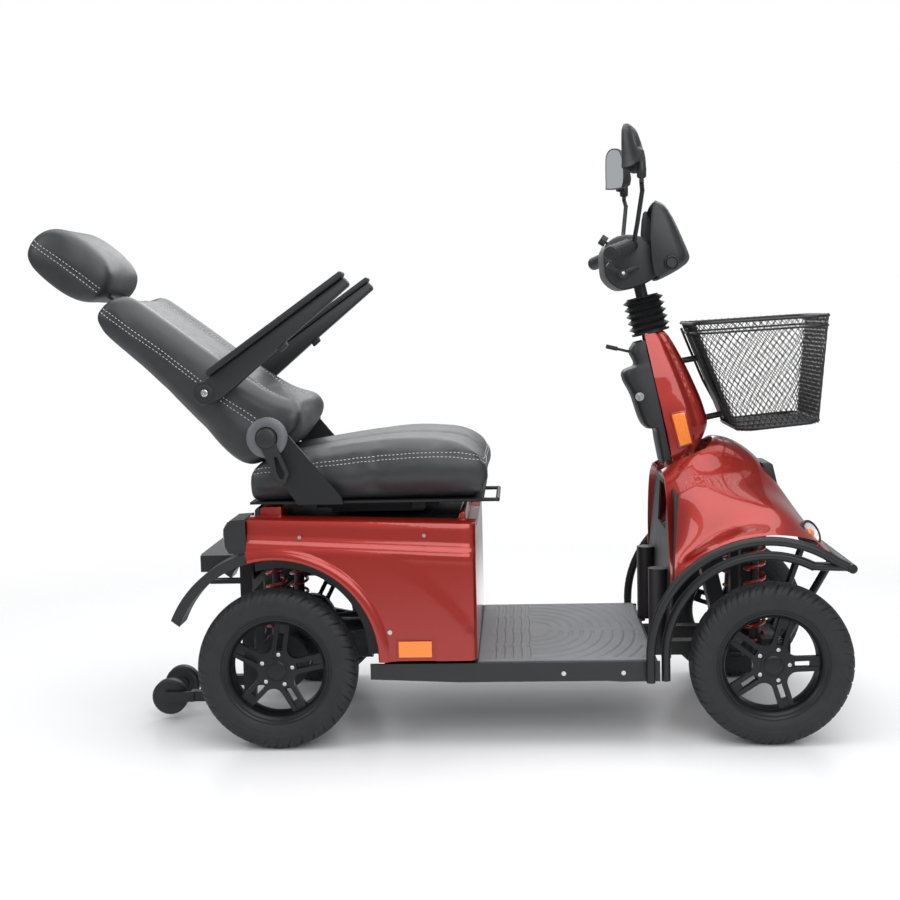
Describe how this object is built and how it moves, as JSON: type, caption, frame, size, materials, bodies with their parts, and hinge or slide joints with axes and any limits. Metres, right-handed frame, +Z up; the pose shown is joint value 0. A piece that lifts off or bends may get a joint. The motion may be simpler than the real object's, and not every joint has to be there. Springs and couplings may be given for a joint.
{
  "type": "mobility scooter",
  "caption": "Four-wheel mobility scooter with reclining swivel seat, tilting tiller, wire basket, mirrors, anti-tip wheels and sprung axles.",
  "frame": {"origin": "middle of the overall length and width, on the floor", "axes": "+X forward, +Y to the rider's left, +Z up"},
  "size_m": [1.8211, 0.657, 1.338],
  "materials": {
    "frame": "semi-gloss black powder coat",
    "paint": "copper-red metallic with clear coat",
    "black_plastic": "satin moulded black",
    "grey_rubber": "matte grey mat",
    "tyre": "dull dark grey",
    "rim": "satin black cast alloy",
    "leather": "charcoal with white stitching",
    "grip": "soft black",
    "spring": "red powder coat",
    "red_lens": "clear red",
    "lamp": "clear lens over reflector",
    "reflector": "amber prismatic",
    "bright": "bright plated",
    "battery": "grey case",
    "casting": "black painted casting"
  },
  "bodies": {
    "chassis": {"main_frame": "frame", "floor_pan": "black_plastic", "floor_mat": "grey_rubber", "batteries": "battery", "rear_shroud": "paint", "seat_hood": "paint", "rear_corner_trims": "black_plastic", "tail_lenses": "red_lens", "rear_box": "black_plastic", "wheel_liners": "black_plastic", "front_cowl": "paint", "leg_shield": "black_plastic", "front_lamps": "lamp", "bumper_bars": "frame", "side_reflectors": "reflector", "fasteners": "bright", "rear_springs": "spring", "front_spring_r": "spring", "front_spring_l": "spring"},
    "rear_axle": {"drive_unit": "casting"},
    "wheel_rr": {"tyre_rr": "tyre", "rim_rr": "rim"},
    "wheel_rl": {"tyre_rl": "tyre", "rim_rl": "rim"},
    "wheel_fr": {"tyre_fr": "tyre", "rim_fr": "rim"},
    "wheel_fl": {"tyre_fl": "tyre", "rim_fl": "rim"},
    "tip_wheel_r": {"antitip_wheel_r": "grip"},
    "tip_wheel_l": {"antitip_wheel_l": "grip"},
    "arm_fr": {"front_arm_r": "frame"},
    "arm_fl": {"front_arm_l": "frame"},
    "steer_fr": {"knuckle_r": "casting"},
    "steer_fl": {"knuckle_l": "casting"},
    "tiller": {"steering_column": "frame", "tiller_cover_front": "paint", "tiller_cover_rear": "black_plastic", "bellows": "grip"},
    "tilt_handle": {"tilt_lever": "frame"},
    "ignition_key": {"key_switch": "bright"},
    "steering_head": {"head_housing": "black_plastic", "head_cowl": "black_plastic", "handlebar": "frame", "grips": "grip"},
    "throttle": {"throttle_levers": "black_plastic"},
    "horn": {"horn_button": "black_plastic"},
    "speed_dial": {"speed_knob": "black_plastic"},
    "mirror_right": {"mirror_r": "black_plastic"},
    "mirror_left": {"mirror_l": "black_plastic"},
    "carrier": {"basket": "frame"},
    "swivel": {"swivel_plate": "frame"},
    "seat": {"seat_pan": "frame", "seat_cushion": "leather"},
    "slide_handle": {"slide_bar": "frame"},
    "swivel_handle": {"swivel_lever": "black_plastic"},
    "back": {"backrest": "leather"},
    "recline_lever": {"recline_handle": "black_plastic"},
    "head_pad": {"headrest": "leather"},
    "arm_right": {"armrest_r": "black_plastic"},
    "arm_left": {"armrest_l": "black_plastic"}
  },
  "joints": [
    {"name": "rear_axle_swing", "type": "hinge", "parent": "chassis", "child": "rear_axle", "pos_m": [-0.09043, 0, 0.215], "axis": [0, 1, 0], "range_deg": [0, 4], "stiffness_Nm_per_rad": 6000, "springref_deg": -8.02, "deforming": ["rear_springs"]},
    {"name": "rear_wheel_r_spin", "type": "hinge", "parent": "rear_axle", "child": "wheel_rr", "pos_m": [-0.34043, -0.286, 0.177], "axis": [0, 1, 0], "continuous": true},
    {"name": "rear_wheel_l_spin", "type": "hinge", "parent": "rear_axle", "child": "wheel_rl", "pos_m": [-0.34043, 0.286, 0.177], "axis": [0, 1, 0], "continuous": true},
    {"name": "front_arm_r_swing", "type": "hinge", "parent": "chassis", "child": "arm_fr", "pos_m": [0.73457, -0.112, 0.168], "axis": [-1, 0, 0], "range_deg": [0, 5], "stiffness_Nm_per_rad": 1500, "springref_deg": -10.31, "deforming": ["front_spring_r"]},
    {"name": "front_steer_r", "type": "hinge", "parent": "arm_fr", "child": "steer_fr", "pos_m": [0.73457, -0.226, 0.177], "axis": [0, 0, 1], "range_deg": [-32, 32]},
    {"name": "front_wheel_r_spin", "type": "hinge", "parent": "steer_fr", "child": "wheel_fr", "pos_m": [0.73457, -0.286, 0.177], "axis": [0, 1, 0], "continuous": true},
    {"name": "front_arm_l_swing", "type": "hinge", "parent": "chassis", "child": "arm_fl", "pos_m": [0.73457, 0.112, 0.168], "axis": [1, 0, 0], "range_deg": [0, 5], "stiffness_Nm_per_rad": 1500, "springref_deg": -10.31, "deforming": ["front_spring_l"]},
    {"name": "front_steer_l", "type": "hinge", "parent": "arm_fl", "child": "steer_fl", "pos_m": [0.73457, 0.226, 0.177], "axis": [0, 0, 1], "range_deg": [-32, 32]},
    {"name": "front_wheel_l_spin", "type": "hinge", "parent": "steer_fl", "child": "wheel_fl", "pos_m": [0.73457, 0.286, 0.177], "axis": [0, 1, 0], "continuous": true},
    {"name": "antitip_r_spin", "type": "hinge", "parent": "chassis", "child": "tip_wheel_r", "pos_m": [-0.64043, -0.064, 0.054], "axis": [0, 1, 0], "continuous": true},
    {"name": "antitip_l_spin", "type": "hinge", "parent": "chassis", "child": "tip_wheel_l", "pos_m": [-0.64043, 0.064, 0.054], "axis": [0, 1, 0], "continuous": true},
    {"name": "tiller_tilt", "type": "hinge", "parent": "chassis", "child": "tiller", "pos_m": [0.58457, 0, 0.56], "axis": [0, 1, 0], "range_deg": [-20, 4]},
    {"name": "tiller_turn", "type": "hinge", "parent": "tiller", "child": "steering_head", "pos_m": [0.48919, 0, 0.97313], "axis": [-0.225, 0, 0.9744], "range_deg": [-40, 40]},
    {"name": "tilt_lever_pull", "type": "hinge", "parent": "tiller", "child": "tilt_handle", "pos_m": [0.47421, 0, 0.84241], "axis": [0, 1, 0], "range_deg": [0, 12], "stiffness_Nm_per_rad": 0.6, "springref_deg": -17.19},
    {"name": "key_turn", "type": "hinge", "parent": "tiller", "child": "ignition_key", "pos_m": [0.47632, -0.06, 0.74438], "axis": [0, -1, 0], "range_deg": [0, 70]},
    {"name": "throttle_squeeze", "type": "hinge", "parent": "steering_head", "child": "throttle", "pos_m": [0.43557, 0, 1.024], "axis": [0, 1, 0], "range_deg": [-18, 18], "stiffness_Nm_per_rad": 0.8},
    {"name": "horn_press", "type": "slide", "parent": "steering_head", "child": "horn", "axis": [0, 1, 0], "range_m": [0, 0.003], "stiffness_N_per_m": 600, "springref_m": -0.002},
    {"name": "speed_dial_turn", "type": "hinge", "parent": "steering_head", "child": "speed_dial", "pos_m": [0.40657, -0.07, 1.094], "axis": [-0.829, 0, 0.5592], "range_deg": [0, 270]},
    {"name": "mirror_r_turn", "type": "hinge", "parent": "steering_head", "child": "mirror_right", "pos_m": [0.46857, -0.245, 1.24], "axis": [0, 0, 1], "range_deg": [-25, 25]},
    {"name": "mirror_l_turn", "type": "hinge", "parent": "steering_head", "child": "mirror_left", "pos_m": [0.46857, 0.245, 1.24], "axis": [0, 0, 1], "range_deg": [-25, 25]},
    {"name": "basket_lift", "type": "slide", "parent": "tiller", "child": "carrier", "axis": [0, 0, 1], "range_m": [0, 0.06]},
    {"name": "seat_swivel", "type": "hinge", "parent": "chassis", "child": "swivel", "pos_m": [-0.12543, 0, 0.506], "axis": [0, 0, 1], "range_deg": [-90, 90]},
    {"name": "seat_slide", "type": "slide", "parent": "swivel", "child": "seat", "axis": [1, 0, 0], "range_m": [-0.06, 0.06]},
    {"name": "slide_bar_lift", "type": "hinge", "parent": "seat", "child": "slide_handle", "pos_m": [-0.03243, 0, 0.5187], "axis": [0, -1, 0], "range_deg": [0, 3], "stiffness_Nm_per_rad": 6, "springref_deg": -20.05},
    {"name": "swivel_lever_pull", "type": "hinge", "parent": "swivel", "child": "swivel_handle", "pos_m": [-0.02843, -0.164, 0.522], "axis": [0, 0, 1], "range_deg": [0, 14], "stiffness_Nm_per_rad": 0.8, "springref_deg": -11.46},
    {"name": "back_recline", "type": "hinge", "parent": "seat", "child": "back", "pos_m": [-0.35243, 0, 0.683], "axis": [0, 1, 0], "range_deg": [-8, 38]},
    {"name": "recline_handle_pull", "type": "hinge", "parent": "seat", "child": "recline_lever", "pos_m": [-0.35243, -0.272, 0.683], "axis": [0, 1, 0], "range_deg": [0, 20], "stiffness_Nm_per_rad": 0.8, "springref_deg": -14.32},
    {"name": "headrest_rise", "type": "slide", "parent": "back", "child": "head_pad", "axis": [-0.766, 0, 0.6428], "range_m": [0, 0.06]},
    {"name": "armrest_r_flip", "type": "hinge", "parent": "back", "child": "arm_right", "pos_m": [-0.48474, -0.26, 0.78357], "axis": [0, 1, 0], "range_deg": [-98, 0]},
    {"name": "armrest_l_flip", "type": "hinge", "parent": "back", "child": "arm_left", "pos_m": [-0.48474, 0.26, 0.78357], "axis": [0, 1, 0], "range_deg": [-98, 0]}
  ],
  "couplings": [
    {"joint": "front_steer_r", "follows": "tiller_turn", "ratio": 0.8},
    {"joint": "front_steer_l", "follows": "tiller_turn", "ratio": 0.8}
  ]
}
